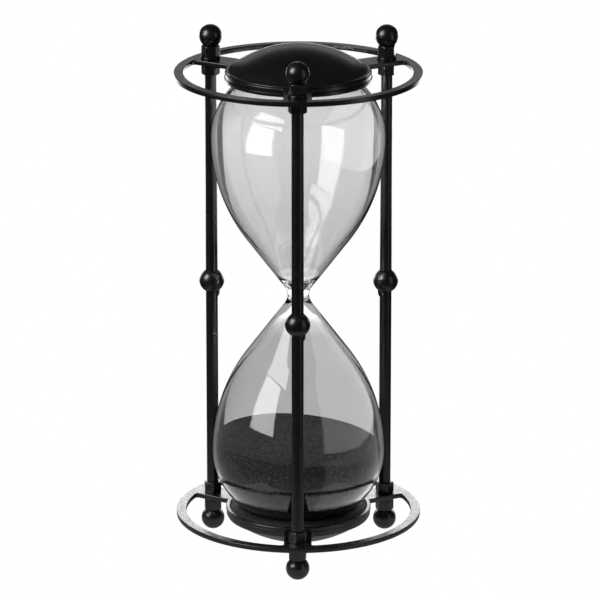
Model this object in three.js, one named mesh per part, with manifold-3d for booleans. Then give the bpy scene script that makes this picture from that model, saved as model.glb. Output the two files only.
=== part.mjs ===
// A sand hourglass: a blown glass vessel of two bulbs, clamped between two spoked ring plates by
// three posts. Millimetres, +Z up, the feet stand on z = 0 and the front post is towards -Y.
import * as THREE from "three";
import Module from "manifold-3d";
import { mergeVertices } from "three/addons/utils/BufferGeometryUtils.js";

const wasm = await Module();
wasm.setup();

// Clearances
const fitGap = 0.3; // between a piece and what it passes through or rests in
const plateHoleClearance = 1.2; // between the glass end and the hole it dips into

// Ring plates
const ringDiameter = 150;
const ringBandWidth = 5.8;
const plateThickness = 3;
const plateSpacing = 274.6; // between the two plates' inner faces
const spokeWidth = 16.8;
const windowCornerRadius = 1.6;
const postInset = 13.25; // from the ring's outer edge to a post's axis

// Posts, balls and M6 hardware
const rodDiameter = 7.3;
const threadDiameter = 6;
const midBallRadius = 7.65;
const finialRadius = 7.15;
const footLandRadius = 1.5; // the small flat a finial stands on
const finialBoreDepth = 6;
const threadEndRoom = 0.6; // left above the thread in the finial's bore
const nutAcrossFlats = 10;
const nutChamfer = 0.55;
const innerNutHeight = 6.7;
const outerNutHeight = 6.9;
const outerNutNeckRadius = 4.4; // where the nut's shoulder meets the finial
const outerNutShoulder = 1.7;
const shoulderBreak = 0.4; // the shoulder's slope changes this far in from the corners
const shoulderBreakRise = 1;
const washerRadius = 5.9;
const washerThickness = 1.6;
const washerEdge = 0.3;
const weldDrop = 9.6; // how far below its ball's centre a weld runs out on the rod
const weldThickness = 3;
const weldTouchAngle = 27; // degrees below the ball's equator where the weld starts

// Dome caps, seat rings and gaskets
const capInset = 8.5; // the hub ring's edge lies this far inside the bulb's widest circle
const domeHeight = 15.7;
const domeSheet = 1.1;
const domeFlangeInset = 0.6;
const domeFlangeWidth = 1.6;
const domeFlangeRound = 0.4;
const seatRingOverhang = 0.4; // the seat ring stands out past the hub ring
const seatRingWidth = 2.3;
const seatRingHeight = 2.2;
const seatRingRound = 0.6;
const gasketHeight = 3.4;
const gasketLipWidth = 1;
const gasketOuterHeight = 1.7;

// Glass vessel
const bulbClearance = 5.4; // from the bulb's widest circle to a post
const poleFlatRadius = 9.3;
const poleRise = 5.3; // how far a glass end dips through its plate
const glassWall = 2.2;
const neckRadius = 6.46;
const neckFilletRadius = 8.5;
const coneAngle = 37; // degrees between the neck's cone and the axis
const cavityTipHeight = 8; // where the cavity's bowl would end without its funnel, from the neck
const funnelRadius = 7;
const funnelDepth = 5.5;
const orificeRadius = 1.4;
const fillHoleRadius = 5.5;

// Filler stopper and sand
const stopperHeadRadius = 8;
const stopperHeadHeight = 4;
const stopperInsert = 3.5;
const stopperTaper = 1; // height of the shank's tapered tip
const stopperRim = 1.6; // how far the head's top face stands in from its edge
const stopperRimDrop = 0.6;
const sandLevel = 68.4; // height of the sand on the axis, above the feet
const sandTilt = 4.5; // degrees, higher on the left
const sandCutMargin = 12;

// Facets
const roundFacets = 32;
const ringFacets = 60;
const smallFacets = 16;
const nutFacets = 18;
const arcFacets = 7;
const bowlFacets = 5;
const filletFacets = 4;
const cornerFacets = 3;

const degrees = Math.PI / 180;
const postNames = ["front", "right", "left"];
const postAzimuths = [-90, 30, 150];
const weldFacings = [0, 180, 0];
const nutTurns = [20, 48, 31, 7, 39, 54]; // degrees, each nut stops where it was tightened

// Heights from the middle of the hourglass, shared by the pieces that meet
const innerFace = plateSpacing / 2;
const outerFace = innerFace + plateThickness;
const outerNutBase = outerFace + washerThickness;
const finialBase = outerNutBase + outerNutHeight;
const finialCentre = finialBase + Math.sqrt(finialRadius ** 2 - outerNutNeckRadius ** 2);
const halfHeight = finialCentre + Math.sqrt(finialRadius ** 2 - footLandRadius ** 2);

// Radii that follow from the ring
const ringRadius = ringDiameter / 2;
const postCircleRadius = ringRadius - postInset;
const bulbRadius = postCircleRadius - rodDiameter / 2 - bulbClearance;
const hubRadius = bulbRadius - capInset;
const boreRadius = threadDiameter / 2 + fitGap;
const seatRingRadius = hubRadius + seatRingOverhang;

// The vessel's outline: a neck fillet, a cone, a belly arc and an end arc, each tangent to the next
const endArcRadius = bulbRadius - poleFlatRadius;
const poleHeight = innerFace + poleRise;
const bulbHeight = poleHeight - endArcRadius;
const cone = coneAngle * degrees;
const coneFoot = new THREE.Vector2(
  neckRadius + neckFilletRadius * (1 - Math.cos(cone)),
  neckFilletRadius * Math.sin(cone),
);
const bellyArcRadius =
  (bulbHeight - coneFoot.y - (bulbRadius - coneFoot.x) / Math.tan(cone)) / Math.tan(cone / 2);

// Points along an arc in the plane; angles in degrees, end point included.
function arcPoints(x, y, radius, from, to, steps = arcFacets) {
  return Array.from({ length: steps + 1 }, (_, i) => {
    const angle = (from + ((to - from) * i) / steps) * degrees;
    return new THREE.Vector2(x + radius * Math.cos(angle), y + radius * Math.sin(angle));
  });
}

// Points from plain [x, y] pairs.
function points(...pairs) {
  return pairs.map(([x, y]) => new THREE.Vector2(x, y));
}

// A turned piece from a profile of (radius, height) points, its axis on Z.
function turned(profile, facets = smallFacets) {
  const area = profile.reduce((sum, p, i) => {
    const q = profile[(i + 1) % profile.length];
    return sum + p.x * q.y - q.x * p.y;
  }, 0);
  const loop = area < 0 ? [...profile].reverse() : [...profile];
  if (loop[0].x > 0) loop.push(loop[0].clone());
  return new THREE.LatheGeometry(loop, facets).rotateX(Math.PI / 2);
}

// A three.js geometry as a solid for booleans.
function solidOf(geometry) {
  const bare = geometry.clone();
  bare.deleteAttribute("normal");
  bare.deleteAttribute("uv");
  const merged = mergeVertices(bare, 1e-4);
  const all = merged.index.array;
  const kept = [];
  for (let i = 0; i < all.length; i += 3) {
    const [a, b, c] = [all[i], all[i + 1], all[i + 2]];
    if (a !== b && b !== c && c !== a) kept.push(a, b, c);
  }
  return new wasm.Manifold(
    new wasm.Mesh({
      numProp: 3,
      vertProperties: new Float32Array(merged.attributes.position.array),
      triVerts: new Uint32Array(kept),
    }),
  );
}

// A solid back as a three.js geometry.
function geometryOf(solid) {
  const mesh = solid.getMesh();
  const geometry = new THREE.BufferGeometry();
  geometry.setAttribute("position", new THREE.BufferAttribute(mesh.vertProperties, 3));
  geometry.setIndex(new THREE.BufferAttribute(mesh.triVerts, 1));
  geometry.computeVertexNormals();
  return geometry;
}

// Half of a plate window, beside a spoke that lies along +X, with rounded corners.
function windowHalf(innerRadius, outerRadius) {
  const half = spokeWidth / 2 + windowCornerRadius;
  const innerReach = innerRadius + windowCornerRadius;
  const outerReach = outerRadius - windowCornerRadius;
  const innerAngle = Math.asin(half / innerReach) / degrees;
  const outerAngle = Math.asin(half / outerReach) / degrees;
  const innerX = innerReach * Math.cos(innerAngle * degrees);
  const outerX = outerReach * Math.cos(outerAngle * degrees);
  const corner = windowCornerRadius;
  return [
    ...arcPoints(0, 0, innerRadius, 60, innerAngle),
    ...arcPoints(innerX, half, corner, innerAngle + 180, 270, cornerFacets).slice(1),
    ...arcPoints(outerX, half, corner, 270, 360 + outerAngle, cornerFacets),
    ...arcPoints(0, 0, outerRadius, outerAngle, 60).slice(1),
  ];
}

// A flat ring with three spokes to a hub ring, a hole for the glass end and three post holes.
function ringPlate() {
  const shape = new THREE.Shape().absarc(0, 0, ringRadius, 0, 2 * Math.PI);
  const half = windowHalf(hubRadius, ringRadius - ringBandWidth);
  const mirrored = half.slice(1, -1).reverse();
  for (const azimuth of postAzimuths) {
    const turn = azimuth * degrees;
    const bisector = 120 * degrees;
    const outline = [
      ...half.map((p) => p.clone()),
      ...mirrored.map((p) => {
        const angle = bisector - Math.atan2(p.y, p.x);
        return new THREE.Vector2(p.length() * Math.cos(angle), p.length() * Math.sin(angle));
      }),
    ];
    outline.forEach((p) => p.rotateAround(new THREE.Vector2(), turn));
    shape.holes.push(new THREE.Path().setFromPoints(outline));
  }
  const glassHole = glassRadiusAt(innerFace) + plateHoleClearance;
  const plate = extruded(shape, plateThickness, ringFacets / 2)
    .subtract(solidOf(pillar(glassHole, plateThickness, roundFacets)));
  const bored = postAzimuths.reduce((solid, azimuth) => {
    const hole = pillar(boreRadius, plateThickness, smallFacets);
    return solid.subtract(solidOf(hole.translate(...postXY(azimuth), 0)));
  }, plate);
  return geometryOf(bored).translate(0, 0, innerFace);
}

// A flat shape as a solid plate standing on z = 0.
function extruded(shape, depth, curveSegments) {
  return solidOf(new THREE.ExtrudeGeometry(shape, { depth, bevelEnabled: false, curveSegments }));
}

// A round cutter that runs past both faces of a piece standing on z = 0.
function pillar(radius, height, facets) {
  return new THREE.CylinderGeometry(radius, radius, height * 2, facets)
    .rotateX(Math.PI / 2)
    .translate(0, 0, height / 2);
}

// Where a post stands.
function postXY(azimuth) {
  const angle = azimuth * degrees;
  return [postCircleRadius * Math.cos(angle), postCircleRadius * Math.sin(angle)];
}

// The outside radius of a glass end at a height from the middle.
function glassRadiusAt(height, offset = 0) {
  const rise = Math.sqrt((endArcRadius + offset) ** 2 - (height - bulbHeight) ** 2);
  return bulbRadius - endArcRadius + rise;
}

// A shallow pressed dome with a flat flange that lies on the hub ring.
function domeCap() {
  const edge = hubRadius - domeFlangeInset;
  const spring = edge - domeFlangeWidth;
  const rise = domeHeight - domeSheet;
  const radius = (spring ** 2 + rise ** 2) / (2 * rise);
  const centre = outerFace + domeHeight - radius;
  const springAngle = Math.asin((outerFace + domeSheet - centre) / radius) / degrees;
  const insideAngle = Math.asin((outerFace - centre) / (radius - domeSheet)) / degrees;
  const profile = [
    ...arcPoints(0, centre, radius, 90, springAngle),
    ...points(
      [edge - domeFlangeRound, outerFace + domeSheet],
      [edge, outerFace + domeSheet - domeFlangeRound],
      [edge, outerFace],
    ),
    ...arcPoints(0, centre, radius - domeSheet, insideAngle, 90),
  ];
  profile[0].x = 0;
  profile.at(-1).x = 0;
  return turned(profile, roundFacets);
}

// A rounded ring on the plate's inner face that keeps the gasket centred.
function seatRing() {
  const [inside, outside] = [seatRingRadius - seatRingWidth, seatRingRadius];
  const lip = innerFace - seatRingHeight;
  const profile = [
    ...points([inside, innerFace], [outside, innerFace]),
    ...arcPoints(outside - seatRingRound, lip + seatRingRound, seatRingRound, 0, -90, cornerFacets),
    ...arcPoints(inside + seatRingRound, lip + seatRingRound, seatRingRound, -90, -180, cornerFacets),
  ];
  return turned(profile, roundFacets);
}

// A rubber ring between the plate and the glass end, hollowed to the glass.
function gasket() {
  const lip = innerFace - gasketHeight;
  const outside = seatRingRadius - seatRingWidth - fitGap;
  const hollow = Array.from({ length: cornerFacets + 1 }, (_, i) => {
    const height = innerFace - (i / cornerFacets) * gasketHeight;
    return new THREE.Vector2(glassRadiusAt(height, fitGap), height);
  });
  const profile = [
    ...hollow,
    ...points(
      [glassRadiusAt(lip, fitGap) + gasketLipWidth, lip],
      [outside, innerFace - gasketOuterHeight],
      [outside, innerFace],
    ),
  ];
  return turned(profile, roundFacets);
}

// The end arc and belly arc of one bulb, set inwards from the outside, pole first.
function bulbArcs(inset, lastAngle) {
  const endCentre = bulbRadius - endArcRadius;
  const bellyCentre = bulbRadius - bellyArcRadius;
  return [
    ...arcPoints(endCentre, bulbHeight, endArcRadius - inset, 90, 0),
    ...arcPoints(bellyCentre, bulbHeight, bellyArcRadius - inset, 0, lastAngle).slice(1),
  ];
}

// The upper half of the vessel's outside, from the pole down to the neck.
function outsideHalf() {
  const filletX = neckRadius + neckFilletRadius;
  const fillet = arcPoints(filletX, 0, neckFilletRadius, 180 - coneAngle, 180, filletFacets);
  return [...bulbArcs(0, -coneAngle), ...fillet];
}

// The upper half of the cavity, from the pole down to the orifice: a bowl, then a funnel.
function insideHalf() {
  const slopeX = coneFoot.x - glassWall * Math.cos(cone);
  const slopeY = coneFoot.y + glassWall * Math.sin(cone);
  const bowlRadius =
    (cavityTipHeight - slopeY + slopeX / Math.tan(cone)) / (1 / Math.sin(cone) - 1);
  const bowlCentre = cavityTipHeight + bowlRadius;
  const funnelAngle = -Math.acos(funnelRadius / bowlRadius) / degrees;
  const bowl = arcPoints(0, bowlCentre, bowlRadius, -coneAngle, funnelAngle, bowlFacets);
  const funnelTip = bowl.at(-1).y - funnelDepth;
  return [...bulbArcs(glassWall, -coneAngle), ...bowl, ...points([orificeRadius, funnelTip])];
}

// One hollow glass body; the upper pole is open through the filling hole.
function glassVessel() {
  const below = (p) => new THREE.Vector2(p.x, -p.y);
  const outside = outsideHalf();
  const inside = insideHalf();
  const profile = [
    ...points([0, -poleHeight]),
    ...outside.map(below),
    ...[...outside].reverse().slice(1),
    ...points([fillHoleRadius, poleHeight], [fillHoleRadius, poleHeight - glassWall]),
    ...inside,
    ...inside.map(below).reverse(),
    ...points([0, glassWall - poleHeight]),
  ];
  return turned(profile, roundFacets);
}

// A rubber plug with a domed head, pushed into the filling hole.
function fillerStopper() {
  const shank = fillHoleRadius - fitGap;
  const profile = points(
    [0, poleHeight - stopperInsert],
    [shank - fitGap, poleHeight - stopperInsert],
    [shank, poleHeight - stopperInsert + stopperTaper],
    [shank, poleHeight],
    [stopperHeadRadius, poleHeight],
    [stopperHeadRadius, poleHeight + stopperHeadHeight / 2],
    [stopperHeadRadius - stopperRim, poleHeight + stopperHeadHeight - stopperRimDrop],
    [0, poleHeight + stopperHeadHeight],
  );
  return turned(profile, smallFacets);
}

// The sand in the lower bulb: the cavity's own shape, cut off by a tilted surface.
function sandBed() {
  const inset = glassWall + fitGap;
  const top = sandLevel - halfHeight;
  const sides = bulbArcs(inset, -coneAngle)
    .map((p) => new THREE.Vector2(p.x, -p.y))
    .filter((p) => p.y < top + sandCutMargin);
  const profile = [
    ...points([0, inset - poleHeight]),
    ...sides,
    ...points([0, sides.at(-1).y]),
  ];
  const blank = solidOf(turned(profile, roundFacets));
  const above = new THREE.BoxGeometry(4 * bulbRadius, 4 * bulbRadius, bulbRadius)
    .translate(0, 0, bulbRadius / 2)
    .rotateY(sandTilt * degrees)
    .translate(0, 0, top);
  return geometryOf(blank.subtract(solidOf(above)));
}

// A straight rod, turned down at both ends to the thread that takes the nuts and finials.
function postRod() {
  const shoulder = innerFace - innerNutHeight;
  const tip = finialBase + finialBoreDepth - threadEndRoom;
  const [rod, thread] = [rodDiameter / 2, threadDiameter / 2];
  const profile = points(
    [0, -tip],
    [thread, -tip],
    [thread, -shoulder],
    [rod, -shoulder],
    [rod, shoulder],
    [thread, shoulder],
    [thread, tip],
    [0, tip],
  );
  return turned(profile, smallFacets);
}

// A ball threaded over the middle of a rod.
function postBall() {
  const bore = rodDiameter / 2 + fitGap;
  const mouth = Math.acos(bore / midBallRadius) / degrees;
  return turned(arcPoints(0, 0, midBallRadius, -mouth, mouth, 10), smallFacets);
}

// A small one-sided weld between a ball's underside and its rod, facing +X.
function weldFillet() {
  const reach = midBallRadius + fitGap;
  const foot = rodDiameter / 2 + fitGap;
  const footAngle = -Math.acos(foot / reach) / degrees;
  const outline = [
    ...points([foot, -weldDrop]),
    ...arcPoints(0, 0, reach, -weldTouchAngle, footAngle, 3),
  ];
  const shape = new THREE.Shape(outline);
  return new THREE.ExtrudeGeometry(shape, { depth: weldThickness, bevelEnabled: false })
    .translate(0, 0, -weldThickness / 2)
    .rotateX(Math.PI / 2);
}

// A ball finial with a small flat to stand on and a blind bore for the thread.
function finial() {
  const from = Math.asin((finialBase - finialCentre) / finialRadius) / degrees;
  const to = Math.acos(footLandRadius / finialRadius) / degrees;
  const profile = [
    ...points([0, finialBase + finialBoreDepth], [boreRadius, finialBase + finialBoreDepth]),
    ...points([boreRadius, finialBase]),
    ...arcPoints(0, finialCentre, finialRadius, from, to, arcFacets),
    ...points([0, halfHeight]),
  ];
  return turned(profile, smallFacets);
}

// A flat washer with broken edges.
function washer() {
  const top = outerFace + washerThickness;
  const profile = points(
    [boreRadius, outerFace],
    [washerRadius, outerFace],
    [washerRadius, top - washerEdge],
    [washerRadius - washerEdge, top],
    [boreRadius, top],
  );
  return turned(profile, smallFacets);
}

// A hexagon from its base up, its corners turned off to a profile, bored for the thread.
function hexNut(base, height, profile) {
  const hex = new THREE.CylinderGeometry(
    nutAcrossFlats / Math.sqrt(3),
    nutAcrossFlats / Math.sqrt(3),
    height,
    6,
  )
    .rotateX(Math.PI / 2)
    .translate(0, 0, height / 2);
  const blank = solidOf(hex).intersect(solidOf(turned(profile, nutFacets)));
  const bored = blank.subtract(solidOf(pillar(boreRadius, height, smallFacets)));
  return geometryOf(bored).translate(0, 0, base);
}

// The nut between the plate and the rod's shoulder, chamfered on both faces.
function innerNut() {
  const corner = nutAcrossFlats / Math.sqrt(3);
  const face = nutAcrossFlats / 2 - fitGap / 2;
  const profile = points(
    [0, 0],
    [face, 0],
    [corner, nutChamfer],
    [corner, innerNutHeight - nutChamfer],
    [face, innerNutHeight],
    [0, innerNutHeight],
  );
  return hexNut(innerFace - innerNutHeight, innerNutHeight, profile);
}

// The nut on the outer face, whose top narrows over a rounded shoulder to the finial.
function outerNut() {
  const corner = nutAcrossFlats / Math.sqrt(3);
  const face = nutAcrossFlats / 2 - fitGap / 2;
  const shoulder = outerNutHeight - outerNutShoulder;
  const profile = points(
    [0, 0],
    [face, 0],
    [corner, nutChamfer],
    [corner, shoulder],
    [corner - shoulderBreak, shoulder + shoulderBreakRise],
    [outerNutNeckRadius, outerNutHeight],
    [0, outerNutHeight],
  );
  return hexNut(outerNutBase, outerNutHeight, profile);
}

const enamel = { color: 0x1a1918, roughness: 0.38, metalness: 0.2 };
const clearGlass = {
  color: 0xdfe5e1,
  roughness: 0.03,
  metalness: 0,
  transparent: true,
  opacity: 0.35,
};
const blackSand = { color: 0x2b2b2d, roughness: 0.95, metalness: 0 };
const blackRubber = { color: 0x141414, roughness: 0.8, metalness: 0 };

const hourglass = new THREE.Group();
hourglass.name = "hourglass";

// Adds one named piece, given by its geometry measured from the hourglass's middle.
function add(name, geometry, finish) {
  const mesh = new THREE.Mesh(geometry, new THREE.MeshStandardMaterial(finish));
  mesh.name = name;
  mesh.geometry.translate(0, 0, halfHeight);
  hourglass.add(mesh);
}

for (const end of ["top", "bottom"]) {
  const atEnd = (geometry) => (end === "top" ? geometry : geometry.rotateY(Math.PI));
  add(`ring_plate_${end}`, atEnd(ringPlate()), enamel);
  add(`dome_cap_${end}`, atEnd(domeCap()), enamel);
  add(`seat_ring_${end}`, atEnd(seatRing()), enamel);
  add(`gasket_${end}`, atEnd(gasket()), blackRubber);
  postNames.forEach((post, i) => {
    const turn = nutTurns[end === "top" ? i : i + postNames.length] * degrees;
    const spot = postXY(postAzimuths[i]);
    const onPost = (geometry) => atEnd(geometry.rotateZ(turn)).translate(...spot, 0);
    add(`inner_nut_${end}_${post}`, onPost(innerNut()), enamel);
    add(`washer_${end}_${post}`, onPost(washer()), enamel);
    add(`outer_nut_${end}_${post}`, onPost(outerNut()), enamel);
    add(`finial_${end}_${post}`, onPost(finial()), enamel);
  });
}

postNames.forEach((post, i) => {
  const atPost = (geometry) => geometry.translate(...postXY(postAzimuths[i]), 0);
  add(`post_rod_${post}`, atPost(postRod()), enamel);
  add(`post_ball_${post}`, atPost(postBall()), enamel);
  add(`weld_fillet_${post}`, atPost(weldFillet().rotateZ(weldFacings[i] * degrees)), enamel);
});

add("glass_vessel", glassVessel(), clearGlass);
add("filler_stopper", fillerStopper(), blackRubber);
add("sand_bed", sandBed(), blackSand);

export default hourglass;
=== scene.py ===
import math

import bmesh
import bpy
import numpy as np
from mathutils import Matrix, Vector


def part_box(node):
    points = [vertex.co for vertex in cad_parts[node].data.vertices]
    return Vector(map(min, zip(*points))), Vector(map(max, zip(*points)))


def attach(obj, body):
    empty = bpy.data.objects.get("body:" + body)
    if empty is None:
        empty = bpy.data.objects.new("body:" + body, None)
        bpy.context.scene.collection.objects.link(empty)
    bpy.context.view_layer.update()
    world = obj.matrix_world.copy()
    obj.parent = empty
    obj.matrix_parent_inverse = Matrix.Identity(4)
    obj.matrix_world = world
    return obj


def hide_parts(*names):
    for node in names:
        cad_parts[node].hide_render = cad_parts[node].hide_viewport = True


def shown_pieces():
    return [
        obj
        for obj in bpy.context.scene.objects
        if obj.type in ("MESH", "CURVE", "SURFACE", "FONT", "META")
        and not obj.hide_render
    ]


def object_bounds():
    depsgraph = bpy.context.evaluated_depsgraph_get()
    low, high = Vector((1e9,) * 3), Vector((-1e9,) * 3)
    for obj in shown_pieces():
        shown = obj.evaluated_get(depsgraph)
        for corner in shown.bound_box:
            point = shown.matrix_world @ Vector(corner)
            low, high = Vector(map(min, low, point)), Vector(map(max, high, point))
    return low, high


# A sand hourglass in a three-post frame. Shapes are worked out in millimetres from the hourglass's
# middle and put into the frame in metres; +Z is up and the front post is towards -Y.
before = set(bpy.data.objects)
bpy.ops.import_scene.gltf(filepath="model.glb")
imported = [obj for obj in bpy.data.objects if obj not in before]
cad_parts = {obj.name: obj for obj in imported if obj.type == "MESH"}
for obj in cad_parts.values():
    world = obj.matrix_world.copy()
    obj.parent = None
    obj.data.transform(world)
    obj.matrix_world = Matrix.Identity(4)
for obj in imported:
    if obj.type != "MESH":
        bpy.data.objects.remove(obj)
cadLow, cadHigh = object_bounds()
millimetre = 0.001
midHeight = (cadLow.z + cadHigh.z) / 2
print("frame loaded", len(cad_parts), "nodes")


# A CAD node's lowest and highest corners, in millimetres from the middle.
def boxOf(node):
    low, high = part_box(node)
    middle = np.array([0, 0, midHeight])
    return (np.array(low) - middle) / millimetre, (np.array(high) - middle) / millimetre


plateLow, plateHigh = boxOf("ring_plate_top")
innerFace, outerFace = plateLow[2], plateHigh[2]
ringRadius = plateHigh[0]
seatOverhang = 0.4  # the seat ring stands out past the hub ring
hubRadius = boxOf("seat_ring_top")[1][0] - seatOverhang
postNames = ["front", "right", "left"]
postSpots = {name: sum(boxOf("post_rod_" + name))[:2] / 2 for name in postNames}
postAngles = np.radians([-90, 30, 150])
fitGap = 0.02  # between pieces that touch

# Merging is in metres. A guard point stands this many millimetres beyond a rounded corner, where
# that takes up less than guardShare of its side.
meshing = {
    "mergeDistance": 2e-6, "guard": 0.2, "guardShare": 0.6, "cornerSteps": 5, "ballSteps": 28,
    "columns": 64, "wideColumns": 144,
}


# Quads over a grid of points, row by row; a closed grid joins its last column to its first.
def gridFaces(rows, columns, closed):
    i, j = np.meshgrid(np.arange(rows - 1), np.arange(columns if closed else columns - 1), indexing="ij")
    k = (j + 1) % columns
    corners = [i * columns + j, i * columns + k, (i + 1) * columns + k, (i + 1) * columns + j]
    return np.stack(corners, axis=-1).reshape(-1, 4)


# A grid of x, y and z arrays as points and quads.
def gridShape(x, y, z, closed):
    x, y, z = np.broadcast_arrays(x, y, z)
    points = np.stack([x, y, z], axis=-1).reshape(-1, 3).astype(float)
    return points, gridFaces(x.shape[0], x.shape[1], closed)


# Several shapes as one.
def joined(shapes):
    starts = np.cumsum([0] + [len(points) for points, _ in shapes[:-1]])
    points = np.vstack([points for points, _ in shapes])
    return points, np.vstack([faces + start for (_, faces), start in zip(shapes, starts)])


# The lower end is the upper end turned half round about the Y axis.
def turnedOver(shape):
    points, faces = shape
    return points * np.array([-1, 1, -1]), faces


# A shape put down at a post.
def moved(shape, spot):
    points, faces = shape
    return points + np.array([spot[0], spot[1], 0]), faces


# Points on an arc in the plane, angles in degrees.
def arc(x, y, radius, start, end, steps):
    angle = np.radians(np.linspace(start, end, steps + 1))
    return np.stack([x + radius * np.cos(angle), y + radius * np.sin(angle)], axis=-1)


# A chain of corners (radius, height, rounding). A rounded corner becomes an arc tangent to both its
# sides, with a guard point beyond each end that keeps the flats flat in smooth shading.
def rounded(corners, closed=True):
    spots = np.array([corner[:2] for corner in corners], float)
    count, guard, room = len(corners), meshing["guard"], meshing["guardShare"]
    chain = []
    for i, (_, _, rounding) in enumerate(corners):
        here = spots[i]
        if rounding == 0 or (not closed and i in (0, count - 1)):
            chain.append(here[None])
            continue
        back, ahead = spots[i - 1] - here, spots[(i + 1) % count] - here
        backLength, aheadLength = np.linalg.norm(back), np.linalg.norm(ahead)
        back, ahead = back / backLength, ahead / aheadLength
        opening = math.acos(np.clip(back @ ahead, -1, 1))
        reach = rounding / math.tan(opening / 2)
        centre = here + (back + ahead) / np.linalg.norm(back + ahead) * rounding / math.sin(opening / 2)
        sweep = math.pi - opening
        share = np.linspace(0, 1, meshing["cornerSteps"] + 1)[:, None]
        first, last = here + back * reach - centre, here + ahead * reach - centre
        bend = (np.sin((1 - share) * sweep) * first + np.sin(share * sweep) * last) / math.sin(sweep)
        if reach + guard < backLength * room:
            chain.append((here + back * (reach + guard))[None])
        chain.append(centre + bend)
        if reach + guard < aheadLength * room:
            chain.append((here + ahead * (reach + guard))[None])
    if closed:
        chain.append(chain[0][:1])
    return np.vstack(chain)


# A turned piece: a profile of (radius, height) points carried round the axis.
def turned(profile, columns=None):
    columns = columns or meshing["columns"]
    angle = np.linspace(0, 2 * np.pi, columns, endpoint=False)
    radius, height = profile[:, :1], profile[:, 1:]
    return gridShape(radius * np.cos(angle), radius * np.sin(angle), height + 0 * angle, True)


# A finished piece: merged, closed, facing outwards, riding on the body in place of its CAD nodes.
def makePiece(name, shape, material, nodes):
    points, faces = shape
    mesh = bpy.data.meshes.new(name)
    mesh.from_pydata((points * millimetre + np.array([0, 0, midHeight])).tolist(), [], faces.tolist())
    work = bmesh.new()
    work.from_mesh(mesh)
    bmesh.ops.remove_doubles(work, verts=work.verts, dist=meshing["mergeDistance"])
    bmesh.ops.recalc_face_normals(work, faces=work.faces)
    work.to_mesh(mesh)
    work.free()
    mesh.polygons.foreach_set("use_smooth", np.ones(len(mesh.polygons), bool))
    mesh.materials.append(material)
    piece = bpy.data.objects.new(name, mesh)
    bpy.context.collection.objects.link(piece)
    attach(piece, "root")
    if nodes:
        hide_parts(*nodes)
    return piece


# Materials

# A new material, its node tree and its one shader.
def newMaterial(name):
    material = bpy.data.materials.new(name)
    material.use_nodes = True
    tree = material.node_tree
    tree.nodes.clear()
    output = tree.nodes.new("ShaderNodeOutputMaterial")
    shader = tree.nodes.new("ShaderNodeBsdfPrincipled")
    tree.links.new(shader.outputs["BSDF"], output.inputs["Surface"])
    return material, tree, shader


# Adds a node, sets its properties and its inputs: a socket is linked and a value is written in.
def addNode(tree, kind, inputs=None, **settings):
    node = tree.nodes.new(kind)
    for key, value in settings.items():
        setattr(node, key, value)
    for key, value in (inputs or {}).items():
        if isinstance(value, bpy.types.NodeSocket):
            tree.links.new(value, node.inputs[key])
        else:
            node.inputs[key].default_value = value
    return node


# One step of arithmetic on sockets or numbers.
def computed(tree, operation, *values):
    return addNode(tree, "ShaderNodeMath", dict(enumerate(values)), operation=operation).outputs[0]


# Noise on the piece's own place, in features per metre.
def noise(tree, place, scale, detail=3, roughness=0.5):
    return addNode(tree, "ShaderNodeTexNoise", {
        "Vector": place, "Scale": scale, "Detail": detail, "Roughness": roughness,
    }).outputs["Fac"]


# A value moved from one range to another, clamped.
def ranged(tree, value, fromLow, fromHigh, toLow, toHigh):
    return addNode(tree, "ShaderNodeMapRange", {
        "Value": value, "From Min": fromLow, "From Max": fromHigh, "To Min": toLow, "To Max": toHigh,
    }).outputs["Result"]


# Two colours mixed by a factor.
def mixed(tree, factor, first, second):
    first, second = ((*value, 1) if isinstance(value, tuple) else value for value in (first, second))
    return addNode(tree, "ShaderNodeMix", {0: factor, 6: first, 7: second}, data_type="RGBA").outputs[2]


# Two numbers mixed by a factor.
def mixedValue(tree, factor, first, second):
    return addNode(tree, "ShaderNodeMix", {0: factor, 2: first, 3: second}).outputs[0]


# A point's own place on its piece, in metres.
def placeOf(tree):
    return addNode(tree, "ShaderNodeTexCoord").outputs["Object"]


# A height that dents the surface of a shader.
def dented(tree, shader, height, depth, strength):
    bump = addNode(tree, "ShaderNodeBump", {"Height": height, "Distance": depth, "Strength": strength})
    tree.links.new(bump.outputs["Normal"], shader.inputs["Normal"])


# Scales are in features per metre and depths in metres, here and in the looks below.
enamelLook = {
    "dark": (0.0040, 0.0033, 0.0031),
    "light": (0.0072, 0.0058, 0.0053),
    "cloudScale": 90,
    "dust": (0.050, 0.045, 0.040),
    "dustAmount": 0.22,
    "speckScale": 2600,
    "patchScale": 45,
    "roughness": (0.27, 0.35),
    "roughScale": 260,
    "specular": 1.0,
    "peelScale": 1300,
    "peelDepth": 0.000006,
}


# Satin black paint over steel: cloudy tone, orange peel, a few nibs and a trace of dust.
def enamelMaterial(look):
    material, tree, shader = newMaterial("satinBlackEnamel")
    place = placeOf(tree)
    cloud = ranged(tree, noise(tree, place, look["cloudScale"], 4), 0.35, 0.65, 0, 1)
    base = mixed(tree, cloud, look["dark"], look["light"])
    specks = ranged(tree, noise(tree, place, look["speckScale"], 2, 0.6), 0.66, 0.74, 0, look["dustAmount"])
    patches = ranged(tree, noise(tree, place, look["patchScale"], 3), 0.45, 0.7, 0, 1)
    colour = mixed(tree, computed(tree, "MULTIPLY", specks, patches), base, look["dust"])
    tree.links.new(colour, shader.inputs["Base Color"])
    rough = ranged(tree, noise(tree, place, look["roughScale"], 3), 0.3, 0.7, *look["roughness"])
    tree.links.new(rough, shader.inputs["Roughness"])
    shader.inputs["Specular IOR Level"].default_value = look["specular"]
    dented(tree, shader, noise(tree, place, look["peelScale"], 2, 0.45), look["peelDepth"], 0.6)
    return material


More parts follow.
